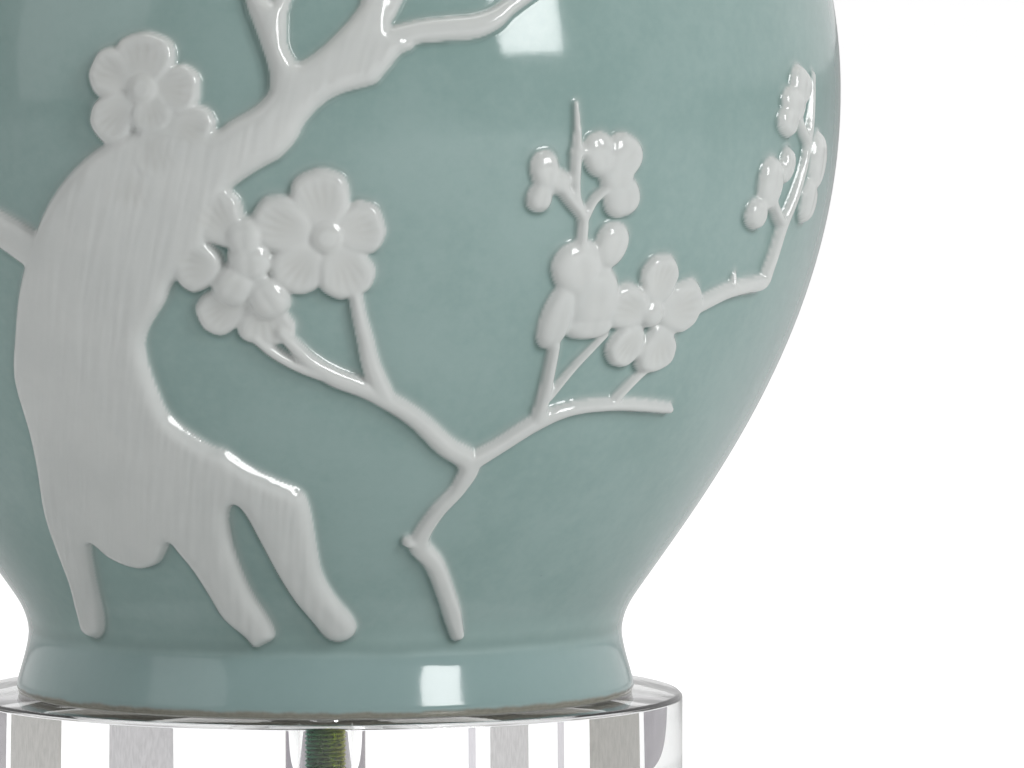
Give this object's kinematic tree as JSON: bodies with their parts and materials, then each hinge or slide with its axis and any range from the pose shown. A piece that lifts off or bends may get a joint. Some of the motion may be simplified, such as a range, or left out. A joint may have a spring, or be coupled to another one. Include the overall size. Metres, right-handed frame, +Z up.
{
  "type": "table lamp",
  "caption": "Table lamp with a glazed porcelain jar body carrying applied blossom branches, a round clear base, a screw socket, harp, fabric drum shade and finial.",
  "frame": {"origin": "centre of the lamp's axis on the table, under the bumper feet", "axes": "+Z up along the threaded rod, -Y towards the viewer, where the trunk of the relief and the switch knob are, +X to the viewer's right"},
  "size_m": [0.3809, 0.381, 0.5904],
  "materials": {
    "clear_rubber": "translucent, satin",
    "clear_acrylic": "polished, clear",
    "nickel": "plated, satin",
    "zinc_plated": "yellow zinc, faint iridescence",
    "celadon_glaze": "gloss celadon glaze",
    "white_glaze": "gloss clear glaze over white slip",
    "black_rubber": "matte",
    "brass": "polished, lacquered",
    "fibre_board": "matte",
    "phenolic": "satin",
    "black_plastic": "gloss",
    "black_glass": "gloss",
    "frosted_glass": "inside frosted",
    "styrene": "smooth, translucent",
    "linen": "plain weave linen"
  },
  "bodies": {
    "stand": {"bumper_front_left": "clear_rubber", "bumper_front_right": "clear_rubber", "bumper_back_left": "clear_rubber", "bumper_back_right": "clear_rubber", "acrylic_base": "clear_acrylic", "base_washer": "nickel", "base_nut": "zinc_plated", "threaded_rod": "zinc_plated", "ceramic_body": "celadon_glaze", "relief_trunk": "white_glaze", "relief_branches": "white_glaze", "relief_blossoms": "white_glaze", "cord_bushing": "black_rubber", "centring_washer": "black_rubber", "cap_gasket": "black_rubber", "vase_cap": "brass", "neck_spacer": "brass", "check_ring": "brass", "harp_saddle": "brass", "saddle_nut": "brass", "socket_cap": "brass", "set_screw": "brass", "socket_shell": "brass", "socket_liner": "fibre_board", "socket_interior": "phenolic", "screw_shell": "brass", "centre_contact": "brass", "terminal_screw_left": "brass", "terminal_screw_right": "nickel", "switch_bushing": "brass"},
    "switch": {"switch_stem": "brass", "switch_knob": "black_plastic"},
    "bulb": {"bulb_contact": "nickel", "bulb_insulator": "black_glass", "bulb_cap": "nickel", "bulb_globe": "frosted_glass"},
    "harp": {"harp_wire": "brass", "harp_stud": "brass"},
    "ferrule_l": {"ferrule_left": "brass"},
    "ferrule_r": {"ferrule_right": "brass"},
    "shade": {"shade_spider": "brass", "shade_bottom_ring": "brass", "shade_liner": "styrene", "shade_cover": "linen", "trim_top": "linen", "trim_bottom": "linen"},
    "finial": {"finial_base": "brass", "finial_knob": "clear_acrylic"}
  },
  "joints": [
    {"name": "switch_turn", "type": "hinge", "parent": "stand", "child": "switch", "pos_m": [0, 0, 0.375], "axis": [0, -1, 0], "continuous": true},
    {"name": "bulb_lift", "type": "slide", "parent": "stand", "child": "bulb", "axis": [0, 0, 1], "range_m": [0, 0.027]},
    {"name": "harp_lift", "type": "slide", "parent": "stand", "child": "harp", "axis": [0, 0, 1], "range_m": [0, 0.03]},
    {"name": "ferrule_left_lift", "type": "slide", "parent": "harp", "child": "ferrule_l", "axis": [0, 0, 1], "range_m": [0, 0.012]},
    {"name": "ferrule_right_lift", "type": "slide", "parent": "harp", "child": "ferrule_r", "axis": [0, 0, 1], "range_m": [0, 0.012]},
    {"name": "shade_turn", "type": "hinge", "parent": "harp", "child": "shade", "pos_m": [0, 0, 0.5513], "axis": [0, 0, 1], "continuous": true},
    {"name": "finial_lift", "type": "slide", "parent": "harp", "child": "finial", "axis": [0, 0, 1], "range_m": [0, 0.011]}
  ]
}
